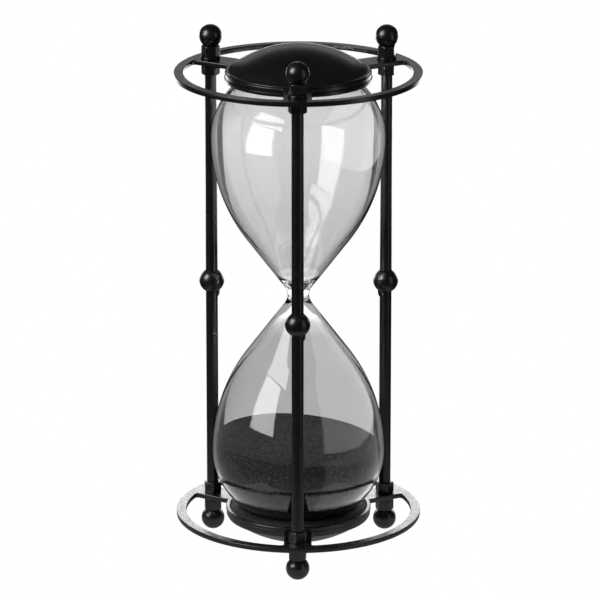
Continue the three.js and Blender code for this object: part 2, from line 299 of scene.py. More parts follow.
rubberLook = {
    "dark": (0.005, 0.005, 0.005),
    "light": (0.009, 0.009, 0.009),
    "cloudScale": 320,
    "roughness": (0.6, 0.8),
    "skinScale": 2400,
    "skinDepth": 0.00004,
}


# Matt black rubber with a fine skin.
def rubberMaterial(look):
    material, tree, shader = newMaterial("blackRubber")
    place = placeOf(tree)
    cloud = noise(tree, place, look["cloudScale"], 4)
    tree.links.new(mixed(tree, cloud, look["dark"], look["light"]), shader.inputs["Base Color"])
    tree.links.new(ranged(tree, cloud, 0.3, 0.7, *look["roughness"]), shader.inputs["Roughness"])
    dented(tree, shader, noise(tree, place, look["skinScale"], 3, 0.6), look["skinDepth"], 0.5)
    return material


# Base colours tint light at every crossing of a surface. Edge turns say how edge on a surface has to be
# seen before painted shade darkens it, and dust edges and the waist's fade are heights in metres from the
# waist.
glassLook = {
    "outside": (0.975, 0.990, 0.980),
    "outsidePaintedEdgeShade": (0.38, 0.39, 0.38),
    "outsideTurn": (0.70, 0.92),
    "inside": (0.53, 0.53, 0.527),
    "insideEdgeFilmAndShade": (0.24, 0.245, 0.24),
    "insideTurn": (0.72, 0.98),
    "smear": (0.46, 0.46, 0.455),
    "smearScale": 70,
    "smearAmount": 0.5,
    "clear": (0.98, 0.98, 0.975),
    "lowerDustEdge": (0.0150, 0.0225),
    "upperDustEdge": (0.0132, 0.0142),
    "dustLean": 0.5,
    "waistFade": (0.020, 0.060),
    "waistEdge": 0.2,
    "roughness": 0.012,
    "roughScale": 160,
    "waveScale": 55,
    "waveDepth": 0.00015,
    "ior": 1.46,
}


# Clear blown glass with painted shade where it is seen edge on: wholly painted on the outside, and on the
# cavity partly its film seen slantwise and partly painted. The cavity wears a thin grey film with faint
# smears, which stops short of the waist: level below it, and leaning with Y above it.
def glassMaterial(look):
    material, tree, shader = newMaterial("blownGlass")
    place = placeOf(tree)
    inside = addNode(tree, "ShaderNodeAttribute", attribute_name="inside").outputs["Fac"]
    facing = addNode(tree, "ShaderNodeLayerWeight", {"Blend": 0.5}).outputs["Facing"]
    spot = addNode(tree, "ShaderNodeSeparateXYZ", {0: place}).outputs
    rise = computed(tree, "SUBTRACT", spot["Z"], midHeight)
    away = computed(tree, "ABSOLUTE", rise)
    lean = computed(tree, "MULTIPLY_ADD", spot["Y"], look["dustLean"], away)
    below = ranged(tree, away, *look["lowerDustEdge"], 0, 1)
    above = ranged(tree, lean, *look["upperDustEdge"], 0, 1)
    dust = mixedValue(tree, computed(tree, "GREATER_THAN", rise, 0.0), below, above)
    fromWaist = ranged(tree, away, *look["waistFade"], look["waistEdge"], 1)
    smears = ranged(tree, noise(tree, place, look["smearScale"], 4), 0.5, 0.8, 0, look["smearAmount"])
    lining = mixed(tree, smears, look["inside"], look["smear"])
    # Painted shade darkens the cavity where it is seen edge on, partly the film's own slant and partly
    # painted, less near the waist.
    liningEdgeFilmAndShade = computed(tree, "MULTIPLY", ranged(tree, facing, *look["insideTurn"], 0, 1), fromWaist)
    lining = mixed(tree, liningEdgeFilmAndShade, lining, look["insideEdgeFilmAndShade"])
    lining = mixed(tree, dust, look["clear"], lining)
    # Painted shade darkens the outside where it is seen edge on, less near the waist.
    skinEdgeShade = computed(tree, "MULTIPLY", ranged(tree, facing, *look["outsideTurn"], 0, 1), fromWaist)
    skin = mixed(tree, skinEdgeShade, look["outside"], look["outsidePaintedEdgeShade"])
    tree.links.new(mixed(tree, inside, skin, lining), shader.inputs["Base Color"])
    rough = ranged(tree, noise(tree, place, look["roughScale"], 3), 0.4, 0.8, 0, look["roughness"])
    tree.links.new(rough, shader.inputs["Roughness"])
    shader.inputs["IOR"].default_value = look["ior"]
    shader.inputs["Transmission Weight"].default_value = 1
    dented(tree, shader, noise(tree, place, look["waveScale"], 2, 0.4), look["waveDepth"], 0.25)
    return material


sandLook = {
    "dark": (0.007, 0.007, 0.0073),
    "grey": (0.018, 0.018, 0.0184),
    "bright": (0.11, 0.11, 0.11),
    "glintShare": (0.72, 0.97),
    "grainScale": 1300,
    "grainDepth": 0.0003,
    "driftScale": 60,
    "driftAmount": 0.35,
    "underShade": (-0.60, 0.0, 0.7),
    "specular": 0.15,
    "roughness": (0.5, 0.9),
}


# Black sand: every grain has its own tone, a few glint, and the gaps between them are dark. Where
# the heap's side turns under it is darker still.
def sandMaterial(look):
    material, tree, shader = newMaterial("blackSand")
    place = placeOf(tree)
    grains = addNode(tree, "ShaderNodeTexVoronoi", {"Vector": place, "Scale": look["grainScale"]})
    tone, glint, rough = addNode(tree, "ShaderNodeSeparateColor", {0: grains.outputs["Color"]}).outputs
    colour = mixed(tree, tone, look["dark"], look["grey"])
    colour = mixed(tree, ranged(tree, glint, *look["glintShare"], 0, 1), colour, look["bright"])
    drift = ranged(tree, noise(tree, place, look["driftScale"], 3), 0.3, 0.7, 0, look["driftAmount"])
    colour = mixed(tree, drift, colour, look["dark"])
    normal = addNode(tree, "ShaderNodeNewGeometry").outputs["Normal"]
    up = addNode(tree, "ShaderNodeSeparateXYZ", {0: normal}).outputs["Z"]
    deepest, highest, shade = look["underShade"]
    colour = mixed(tree, ranged(tree, up, deepest, highest, shade, 0), colour, (0, 0, 0))
    tree.links.new(colour, shader.inputs["Base Color"])
    tree.links.new(ranged(tree, rough, 0, 1, *look["roughness"]), shader.inputs["Roughness"])
    shader.inputs["Specular IOR Level"].default_value = look["specular"]
    crown = computed(tree, "SUBTRACT", 1.0, grains.outputs["Distance"])
    dented(tree, shader, crown, look["grainDepth"], 0.8)
    return material


enamel = enamelMaterial(enamelLook)
rubber = rubberMaterial(rubberLook)
glass = glassMaterial(glassLook)
sand = sandMaterial(sandLook)
print("materials made")


# Ring plates

plateSizes = {
    "spokeHalf": 8.4,
    "corner": 1.6,
    "ringBand": 5.8,
    "hole": 31.3,
    "edge": 0.45,
    "edgeSteps": 4,
    "hubRows": 5,
    "bandRows": 3,
    "arcSteps": 20,
    "filletSteps": 10,
    "spokeSteps": 6,
}


# Where a window's two edges lie at angles measured from a spoke's middle line, with the window grown
# by an offset. Outer edge: the fillet circle, then the ring's inner circle. Inner edge: that fillet,
# the spoke's straight side, the hub's fillet circle, then the hub's circle.
def windowRadii(angle, grow, sizes):
    outerCentre = ringRadius - sizes["ringBand"] - sizes["corner"]
    innerCentre = hubRadius + sizes["corner"]
    offset = sizes["spokeHalf"] + sizes["corner"]
    corner = sizes["corner"] + grow
    half = sizes["spokeHalf"] - grow
    outerTurn, innerTurn = math.asin(offset / outerCentre), math.asin(offset / innerCentre)
    lineStart = math.atan2(half, outerCentre * math.cos(outerTurn))
    lineEnd = math.atan2(half, innerCentre * math.cos(innerTurn))
    outerRoot = np.sqrt(np.maximum(corner**2 - (outerCentre * np.sin(angle - outerTurn)) ** 2, 0))
    innerRoot = np.sqrt(np.maximum(corner**2 - (innerCentre * np.sin(angle - innerTurn)) ** 2, 0))
    outerMiddle = outerCentre * np.cos(angle - outerTurn)
    innerMiddle = innerCentre * np.cos(angle - innerTurn)
    far = np.where(angle < outerTurn, outerMiddle + outerRoot, ringRadius - sizes["ringBand"] + grow)
    near = np.where(angle < lineStart, outerMiddle - outerRoot, half / np.sin(angle))
    near = np.where(angle > lineEnd, innerMiddle - innerRoot, near)
    near = np.where(angle > innerTurn, hubRadius - grow, near)
    return near, far


# The angles at which a window is sampled, from its first point beside a spoke to halfway to the next.
def windowAngles(grow, sizes):
    outerCentre = ringRadius - sizes["ringBand"] - sizes["corner"]
    innerCentre = hubRadius + sizes["corner"]
    offset = sizes["spokeHalf"] + sizes["corner"]
    outerTurn, innerTurn = math.asin(offset / outerCentre), math.asin(offset / innerCentre)
    start = outerTurn - math.asin((sizes["corner"] + grow) / outerCentre)
    lineEnd = math.atan2(sizes["spokeHalf"] - grow, innerCentre * math.cos(innerTurn))
    ease = 1 - np.cos(np.linspace(0, np.pi / 2, sizes["filletSteps"] + 1))
    return np.concatenate([
        start + (outerTurn - start) * ease,
        [(outerTurn + lineEnd) / 2],
        lineEnd + (innerTurn - lineEnd) * ease,
        np.linspace(innerTurn, math.radians(60), sizes["arcSteps"] + 1)[1:],
    ])


# A flat ring joined by three spokes to a hub ring. Flat faces are radial strips; every edge is
# rounded by growing its outline step by step while the height follows a quarter circle.
def ringPlate(sizes):
    edge, guard = sizes["edge"], meshing["guard"]
    turn = np.linspace(0, np.pi / 2, sizes["edgeSteps"] + 1)
    grow = edge * (1 - np.sin(turn))
    drop = edge * (1 - np.cos(turn))
    growths = np.concatenate([[edge + guard], grow, grow[::-1], [edge + guard]])
    heights = np.concatenate([[outerFace], outerFace - drop, innerFace + drop[::-1], [innerFace]])
    flatAngles = windowAngles(edge + guard, sizes)
    near, far = windowRadii(flatAngles, edge + guard, sizes)
    tip = math.sqrt(near[0] * far[0])
    spoke = np.linspace(-flatAngles[0], flatAngles[0], sizes["spokeSteps"] + 1)[1:-1]
    sector = np.concatenate([-flatAngles[::-1], spoke, flatAngles[:-1]])
    sectorNear = np.concatenate([near[::-1], tip + 0 * spoke, near[:-1]])
    sectorFar = np.concatenate([far[::-1], tip + 0 * spoke, far[:-1]])
    shapes = []
    allAngles = np.repeat(postAngles, len(sector)) + np.tile(sector, len(postAngles))
    allNear, allFar = (np.tile(values, len(postAngles)) for values in (sectorNear, sectorFar))
    cos, sin = np.cos(allAngles), np.sin(allAngles)
    for face in (outerFace, innerFace):
        for low, high, rows in (
            (sizes["hole"] + edge + guard + 0 * allNear, allNear, sizes["hubRows"]),
            (allFar, ringRadius - edge - guard + 0 * allFar, sizes["bandRows"]),
        ):
            share = np.linspace(0, 1, rows)[:, None]
            radius = low + (high - low) * share
            shapes.append(gridShape(radius * cos, radius * sin, face + 0 * radius, True))
    for wall in (ringRadius - growths, sizes["hole"] + growths):
        shapes.append(gridShape(wall[:, None] * cos, wall[:, None] * sin, heights[:, None] + 0 * cos, True))
    angles = np.stack([windowAngles(step, sizes) for step in growths])
    radii = [np.stack(pair) for pair in zip(*[windowRadii(a, g, sizes) for a, g in zip(angles, growths)])]
    for middle in postAngles:
        for side in (1, -1):
            for radius in radii:
                x, y = radius * np.cos(middle + side * angles), radius * np.sin(middle + side * angles)
                shapes.append(gridShape(x, y, heights[:, None] + 0 * x, False))
    return joined(shapes)


plate = ringPlate(plateSizes)
makePiece("ringPlateTop", plate, enamel, ["ring_plate_top"])
makePiece("ringPlateBottom", turnedOver(plate), enamel, ["ring_plate_bottom"])
print("ring plates made")


# Dome caps, seat rings and gaskets

capSizes = {
    "rise": 15.7, "sheet": 1.1, "edgeIn": 0.6, "flange": 1.6, "edge": 0.4, "underEdge": 0.2, "steps": 40,
}
seatSizes = {"width": 2.3, "height": 2.2, "edge": 0.6, "faceEdge": 0.2}
gasketSizes = {"height": 3.4, "lip": 1.0, "outerHeight": 1.7, "clearance": 0.3, "steps": 8}
bulbSizes = {
    "radius": 52.7, "endArc": 43.4, "height": 99.2, "wall": 2.2, "coneAngle": 37,
    "neck": 6.46, "neckFillet": 8.5, "cavityTip": 8.0, "funnelRadius": 7.0, "funnelDepth": 5.5,
    "orifice": 1.4, "fillHole": 5.5, "rimWidth": 0.6, "rimEdge": 0.3,
    "spacing": 1.4, "smoothing": 2, "insideSpacing": 1.12, "insideSmoothing": 4, "columns": 144,
    "arcSteps": 90, "filletSteps": 24, "bowlSteps": 30, "poleReach": 20,
}


# A shallow pressed dome: two arcs about one centre on the axis, joined by a flat rounded flange.
def domeCap(sizes):
    edge = hubRadius - sizes["edgeIn"]
    spring = edge - sizes["flange"]
    rise = sizes["rise"] - sizes["sheet"]
    radius = (spring**2 + rise**2) / (2 * rise)
    centre = outerFace + sizes["rise"] - radius
    outerAngle = math.degrees(math.asin((outerFace + sizes["sheet"] - centre) / radius))
    innerAngle = math.degrees(math.asin((outerFace - centre) / (radius - sizes["sheet"])))
    skin = arc(0, centre, radius, 90, outerAngle, sizes["steps"])
    under = arc(0, centre, radius - sizes["sheet"], innerAngle, 90, sizes["steps"])
    skin[0, 0] = under[-1, 0] = 0
    flange = rounded([
        (*skin[-1], 0),
        (edge, outerFace + sizes["sheet"], sizes["edge"]),
        (edge, outerFace + fitGap, sizes["underEdge"]),
        (*under[0], 0),
    ], closed=False)
    under[:, 1] = np.maximum(under[:, 1], outerFace + fitGap)
    flange[:, 1] = np.maximum(flange[:, 1], outerFace + fitGap)
    return turned(np.vstack([skin[:-1], flange[:-1], under]), meshing["wideColumns"])


# A rounded ring under the hub ring.
def seatRing(sizes):
    outside = hubRadius + seatOverhang
    inside, face, lip = outside - sizes["width"], innerFace - fitGap, innerFace - sizes["height"]
    return turned(rounded([
        (inside, face, sizes["faceEdge"]),
        (outside, face, sizes["faceEdge"]),
        (outside, lip, sizes["edge"]),
        (inside, lip, sizes["edge"]),
    ]), meshing["wideColumns"])


# The outside radius of a glass end at a height, with an offset.
def glassEndRadius(height, offset):
    middle = bulbSizes["radius"] - bulbSizes["endArc"]
    reach = bulbSizes["endArc"] + offset
    return middle + np.sqrt(reach**2 - (height - bulbSizes["height"]) ** 2)


# A rubber ring that is hollowed to the glass end.
def gasket(sizes):
    lip = innerFace - sizes["height"]
    height = np.linspace(innerFace - fitGap, lip, sizes["steps"])
    hollow = np.stack([glassEndRadius(height, sizes["clearance"]), height], axis=-1)
    outside = hubRadius + seatOverhang - seatSizes["width"] - sizes["clearance"]
    rim = np.array([
        [hollow[-1, 0] + sizes["lip"], lip],
        [outside, innerFace - sizes["outerHeight"]],
        [outside, innerFace - fitGap],
        hollow[0],
    ])
    return turned(np.vstack([hollow, rim]), meshing["wideColumns"])


ends = {"top": lambda shape: shape, "bottom": turnedOver}
for end, place in ends.items():
    suffix = end.capitalize()
    makePiece("domeCap" + suffix, place(domeCap(capSizes)), enamel, ["dome_cap_" + end])
    makePiece("seatRing" + suffix, place(seatRing(seatSizes)), enamel, ["seat_ring_" + end])
    makePiece("gasket" + suffix, place(gasket(gasketSizes)), rubber, ["gasket_" + end])
print("caps, seat rings and gaskets made")


# Posts and their hardware

rodSizes = {
    "radius": 3.65, "thread": 3.0, "tipEdge": 0.5, "shoulderEdge": 0.3, "endRoom": 0.6, "rows": (40, 9),
}
ballSizes = {"radius": 7.65}
finialSizes = {"radius": 7.15, "land": 1.5, "landRim": 0.3, "boreDepth": 6.0}
washerSizes = {"radius": 5.9, "thickness": 1.6, "lowEdge": 0.25, "highEdge": 0.35}
nutSizes = {
    "acrossFlats": 10.0, "inner": 6.7, "outer": 6.9, "faceIn": 0.15, "chamferSlope": 1.7,
    "neck": 4.4, "shoulder": 1.7, "shoulderReach": 1.45, "shoulderSlope": 3,
    "sharpness": 46, "softness": 0.07, "columns": 120,
    "endRows": (0, 0.06, 0.14, 0.26, 0.42, 0.62, 0.9, 1.3, 1.75),
    "turns": {"top": (20, 48, 31), "bottom": (7, 39, 54)},
}
threadBore = rodSizes["thread"] + fitGap
outerNutBase = outerFace + washerSizes["thickness"]
finialBase = outerNutBase + nutSizes["outer"]
finialCentre = finialBase + math.sqrt(finialSizes["radius"] ** 2 - nutSizes["neck"] ** 2)
halfHeight = (cadHigh.z - midHeight) / millimetre


# A straight rod with turned-down ends, and two plain rows that keep its long sides in shape.
def postRod(sizes):
    shoulder = innerFace - nutSizes["inner"] - fitGap
    tip = finialBase + finialSizes["boreDepth"] - sizes["endRoom"]
    rod, thread = sizes["radius"], sizes["thread"]
    half = rounded([
        (0, tip, 0),
        (thread, tip, sizes["tipEdge"]),
        (thread, shoulder, 0),
        (rod, shoulder, sizes["shoulderEdge"]),
        *((rod, height, 0) for height in sizes["rows"]),
    ], closed=False)
    return turned(np.vstack([half, half[::-1] * np.array([1, -1])]))


# A ball threaded over the rod: an arc from mouth to mouth and the bore's wall.
def postBall(sizes):
    bore = rodSizes["radius"] + fitGap
    mouth = math.degrees(math.acos(bore / sizes["radius"]))
    skin = arc(0, 0, sizes["radius"], -mouth, mouth, meshing["ballSteps"])
    return turned(np.vstack([skin, skin[:1]]))


# A ball with a small flat at its outer pole and a blind bore.
def finial(sizes):
    radius, land = sizes["radius"], sizes["land"]
    start = math.degrees(math.asin((finialBase + fitGap - finialCentre) / radius))
    end = math.degrees(math.acos(land / radius))
    skin = arc(0, finialCentre, radius, end, start, meshing["ballSteps"])
    deep = finialBase + sizes["boreDepth"]
    bore = [[threadBore, skin[-1, 1]], [threadBore, deep], [0, deep]]
    return turned(np.vstack([[[0, halfHeight], [land - sizes["landRim"], halfHeight]], skin, bore]))


# A flat washer with broken edges.
def washer(sizes):
    low, high = outerFace + fitGap, outerNutBase - fitGap
    return turned(rounded([
        (threadBore, low, 0),
        (sizes["radius"], low, sizes["lowEdge"]),
        (sizes["radius"], high, sizes["highEdge"]),
        (threadBore, high, 0),
    ]))


# A hex nut: its radius is a softened hexagon's, cut down by a limit that changes with height,
# the two blended by a soft minimum so that the chamfers meet the flats in rounded edges.
def hexNut(base, height, limit, turn, sizes):
    angle = np.linspace(0, 2 * np.pi, sizes["columns"], endpoint=False)
    power, soft, flat = sizes["sharpness"], sizes["softness"], sizes["acrossFlats"] / 2
    sides = np.abs(np.cos(angle[:, None] - np.radians([0, 60, 120]))) ** power
    hexagon = flat / sides.sum(axis=1) ** (1 / power)
    rows = np.array(sizes["endRows"], float)
    rise = np.concatenate([rows, height - rows[::-1]])
    cut = limit(rise, height, sizes)[:, None]
    radius = flat - soft * np.log(np.exp((flat - hexagon) / soft) + np.exp((flat - cut) / soft))
    bore = np.full((1, len(angle)), threadBore)
    lowFace, highFace = (radius[:1] + 2 * bore) / 3, (radius[-1:] + 2 * bore) / 3
    radius = np.vstack([bore, lowFace, radius, highFace, bore, bore])
    rise = np.concatenate([[0, 0], rise, [height, height, 0]])[:, None]
    spin = angle + math.radians(turn)
    return gridShape(radius * np.cos(spin), radius * np.sin(spin), base + rise + 0 * angle, True)


# The chamfer limit of a plain nut: a cone at each face.
def plainLimit(rise, height, sizes):
    face = sizes["acrossFlats"] / 2 - sizes["faceIn"]
    return face + sizes["chamferSlope"] * np.minimum(rise, height - rise)


# The limit of the outer nut: a cone below and a rounded shoulder that narrows to the neck above.
def shoulderLimit(rise, height, sizes):
    face = sizes["acrossFlats"] / 2 - sizes["faceIn"]
    share = (height - rise) / sizes["shoulder"]
    bend = sizes["neck"] + sizes["shoulderReach"] * np.sqrt(1 - (1 - np.clip(share, 0, 1)) ** 2)
    below = sizes["shoulderSlope"] * np.maximum(share - 1, 0)
    return np.minimum(face + sizes["chamferSlope"] * rise, bend + below)


weldSizes = {
    "start": -5.6, "length": 4.9, "wide": 1.7, "thick": 1.5, "sunk": 0.25, "blunt": 2.4,
    "startSlope": 6, "startShare": 0.55, "ripple": 0.05, "ripples": 21, "rows": 26, "columns": 20,
}


# A weld bead down the rod from a ball's underside: an ellipse carried down, its size falling along a
# rounded taper with a little ripple, half sunk in the rod.
def weldBead(sizes, facing):
    share = np.linspace(0, 1, sizes["rows"])[:, None]
    height = sizes["start"] - sizes["length"] * share
    swell = np.clip(share * sizes["startSlope"] + sizes["startShare"], 0, 1)
    taper = np.sqrt(np.clip(1 - share ** sizes["blunt"], 0, 1)) * np.sqrt(swell)
    taper = taper * (1 + sizes["ripple"] * np.sin(share * sizes["ripples"]))
    taper[0] = taper[-1] = 0
    angle = np.linspace(0, 2 * np.pi, sizes["columns"], endpoint=False)
    out = rodSizes["radius"] - sizes["sunk"] + sizes["thick"] * taper * np.cos(angle)
    across = sizes["wide"] * taper * np.sin(angle)
    return gridShape(out * facing, across * facing, height + 0 * angle, True)


rod, ball = postRod(rodSizes), postBall(ballSizes)
facings = {"front": 1, "right": -1, "left": 1}
for name in postNames:
    suffix, spot = name.capitalize(), postSpots[name]
    makePiece("rod" + suffix, moved(rod, spot), enamel, ["post_rod_" + name])
    makePiece("ball" + suffix, moved(ball, spot), enamel, ["post_ball_" + name])
    bead = weldBead(weldSizes, facings[name])
    makePiece("weld" + suffix, moved(bead, spot), enamel, ["weld_fillet_" + name])

innerNutBase = innerFace - nutSizes["inner"] - fitGap
for end, place in ends.items():
    for name, turn in zip(postNames, nutSizes["turns"][end]):
        spot, suffix = postSpots[name], end.capitalize() + name.capitalize()
        hardware = {
            "inner_nut": hexNut(innerNutBase, nutSizes["inner"], plainLimit, turn, nutSizes),
            "washer": washer(washerSizes),
            "outer_nut": hexNut(outerNutBase, nutSizes["outer"], shoulderLimit, turn, nutSizes),
            "finial": finial(finialSizes),
        }
        for kind, shape in hardware.items():
            pieceName = kind.replace("_nut", "Nut") + suffix
            node = f"{kind}_{end}_{name}"
            makePiece(pieceName, moved(place(shape), spot), enamel, [node])
print("posts and hardware made")


# Glass vessel

# A chain of points spaced evenly along its length and lightly smoothed, its ends kept.
def evenly(chain, spacing, smoothing):
    steps = np.linalg.norm(np.diff(chain, axis=0), axis=1)
    along = np.concatenate([[0], np.cumsum(steps)])
    place = np.linspace(0, along[-1], int(along[-1] / spacing) + 1)
    even = np.stack([np.interp(place, along, chain[:, 0]), np.interp(place, along, chain[:, 1])], axis=-1)
    for _ in range(smoothing):
        even[1:-1] = (even[:-2] + 2 * even[1:-1] + even[2:]) / 4
    return even


# The upper bulb's end arc and belly arc, set in by the wall or not, and the foot of the cone. Pole,
# end arc, belly arc, cone and neck fillet are each tangent to the next.
def bulbArcs(sizes, inset=0.0):
    cone = math.radians(sizes["coneAngle"])
    footX = sizes["neck"] + sizes["neckFillet"] * (1 - math.cos(cone))
    footY = sizes["neckFillet"] * math.sin(cone)
    belly = (sizes["height"] - footY - (sizes["radius"] - footX) / math.tan(cone)) / math.tan(cone / 2)
    middle, steps = sizes["height"], sizes["arcSteps"]
    shoulder = arc(sizes["radius"] - sizes["endArc"], middle, sizes["endArc"] - inset, 90, 0, steps)
    flank = arc(sizes["radius"] - belly, middle, belly - inset, 0, -sizes["coneAngle"], steps)
    return shoulder, flank[1:], (footX, footY)


# The vessel's two chains of points, outside and inside, each from the upper pole to the neck's middle.
def vesselChains(sizes):
    shoulder, flank, foot = bulbArcs(sizes)
    neck, start = sizes["neckFillet"], 180 - sizes["coneAngle"]
    fillet = arc(sizes["neck"] + neck, 0, neck, start, 180, sizes["filletSteps"])
    pole = np.array([[0, sizes["height"] + sizes["endArc"]]])
    outside = evenly(np.vstack([pole, shoulder, flank, fillet]), sizes["spacing"], sizes["smoothing"])
    inShoulder, inFlank, _ = bulbArcs(sizes, sizes["wall"])
    cone = math.radians(sizes["coneAngle"])
    slopeX = foot[0] - sizes["wall"] * math.cos(cone)
    slopeY = foot[1] + sizes["wall"] * math.sin(cone)
    bowlRadius = (sizes["cavityTip"] - slopeY + slopeX / math.tan(cone)) / (1 / math.sin(cone) - 1)
    funnelAngle = -math.degrees(math.acos(sizes["funnelRadius"] / bowlRadius))
    bowlMiddle, turn = sizes["cavityTip"] + bowlRadius, -sizes["coneAngle"]
    bowl = arc(0, bowlMiddle, bowlRadius, turn, funnelAngle, sizes["bowlSteps"])
    mouth = np.array([[sizes["orifice"], bowl[-1, 1] - sizes["funnelDepth"]], [sizes["orifice"], 0]])
    inPole = np.array([[0, sizes["height"] + sizes["endArc"] - sizes["wall"]]])
    inside = np.vstack([inPole, inShoulder, inFlank, bowl, mouth])
    return outside, evenly(inside, sizes["insideSpacing"], sizes["insideSmoothing"])


# Amount and phase of each surface. Each wave: how many go round, its share, the height in which it
# turns by a radian, and its share of the phase.
glassWaves = {
    "outside": (0.10, 0.4),
    "inside": (0.16, 2.1),
    "waves": ((2, 1.0, 61, 1.0), (3, 0.6, 33, -1.7), (1, 0.45, 17, 2.3)),
    "fullRadius": 20,
}


# How far the hand-blown wall wanders from true: the sum of slow waves round and along the vessel.
def wander(height, angle, side):
    amount, phase = glassWaves[side]
    return amount / 2 * sum(
        share * np.sin(count * angle + height / climb + turn * phase)
        for count, share, climb, turn in glassWaves["waves"]
    )


# A radius with the wall's wander, which fades out towards the axis.
def wavy(radius, height, angle, side):
    fade = np.clip(radius / glassWaves["fullRadius"], 0, 1) ** 2
    return radius + fade * wander(height, angle, side)


# The vessel: down the outside, up the inside, and out through the filling hole.
def glassVessel(sizes):
    angle = np.linspace(0, 2 * np.pi, sizes["columns"], endpoint=False)
    outside, inside = vesselChains(sizes)
    top, flip = outside[0, 1], np.array([1, -1])
    hole, under = sizes["fillHole"], top - sizes["wall"]
    brim = hole + sizes["rimWidth"]
    outer = np.vstack([outside[outside[:, 0] > brim], (outside * flip)[-2::-1]])
    inner = np.vstack([(inside * flip)[:-1], inside[inside[:, 0] > 0][::-1]])
    inner = inner[~((inner[:, 1] > sizes["height"]) & (inner[:, 0] < brim))]
    edge = sizes["rimEdge"]
    rim = rounded([(brim, under, 0), (hole, under, edge), (hole, top, edge), (brim, top, 0)], closed=False)
    skin = np.vstack([rim[-1, 0] + 0 * angle, wavy(outer[:, :1], outer[:, 1:], angle, "outside")])
    skinHeight = np.concatenate([rim[-1:, 1], outer[:, 1]])[:, None]
    lining = np.vstack([wavy(inner[:, :1], inner[:, 1:], angle, "inside"), rim[:, :1] + 0 * angle])
    liningHeight = np.concatenate([inner[:, 1], rim[:, 1]])[:, None]
    cos, sin = np.cos(angle), np.sin(angle)
    return joined([
        gridShape(skin * cos, skin * sin, skinHeight, True),
        gridShape(lining * cos, lining * sin, liningHeight, True),
    ])


vessel = makePiece("glassVessel", glassVessel(bulbSizes), glass, ["glass_vessel"])


# Marks the points of the cavity's surface, which lie nearer to the inside chain than to the outside
# one. By the pole, where both chains run flat, the wall's middle height tells them apart.
def markCavity(mesh, sizes):
    spots = np.empty(len(mesh.vertices) * 3)
    mesh.vertices.foreach_get("co", spots)
    spots = spots.reshape(-1, 3)
    outside, inside = vesselChains(sizes)
    level = np.abs(spots[:, 2] - midHeight) / millimetre
    distance = np.hypot(spots[:, 0], spots[:, 1]) / millimetre
    outerAt, innerAt = (np.interp(level, chain[::-1, 1], chain[::-1, 0]) for chain in (outside, inside))
    isInside = (np.abs(distance - innerAt) < np.abs(distance - outerAt)).astype(np.float32)
    poleLevel = sizes["height"] + sizes["endArc"] - sizes["wall"] / 2
    isInside[level > poleLevel] = 0
    isInside[(distance < sizes["poleReach"]) & (level > sizes["height"]) & (level <= poleLevel)] = 1
    mesh.attributes.new("inside", "FLOAT", "POINT").data.foreach_set("value", isInside)


markCavity(vessel.data, bulbSizes)

stopperSizes = {
    "head": 8.0, "height": 4.0, "insert": 3.5, "clearance": 0.3, "taper": 0.4, "edge": 0.3, "dome": 1.5,
}


# A rubber plug with a domed head in the filling hole.
def fillerStopper(sizes):
    top = bulbSizes["height"] + bulbSizes["endArc"]
    deep, face, crown = top - sizes["insert"], top + fitGap, top + sizes["height"]
    shank = bulbSizes["fillHole"] - sizes["clearance"]
    return turned(rounded([
        (0, deep, 0),
        (shank - sizes["taper"], deep, sizes["edge"]),
        (shank, face, 0),
        (sizes["head"], face, sizes["edge"]),
        (sizes["head"], crown, sizes["dome"]),
        (0, crown, 0),
    ], closed=False))


makePiece("fillerStopper", fillerStopper(stopperSizes), rubber, ["filler_stopper"])
print("glass vessel made")


# Sand

sandSizes = {
    "level": 68.4, "tilt": 4.5, "inset": 0.12, "columns": 200, "topRows": 90, "sideRows": 60,
    "ripple": 0.35, "rippleLengths": (9.1, 11.3, 4.3, 5.9), "rippleFade": 6, "grain": 0.01, "seed": 7,
    "wallRadius": 4, "wallTop": -20, "edgeGuess": 50.0, "edgeTries": 40, "floorRadius": 45,
}


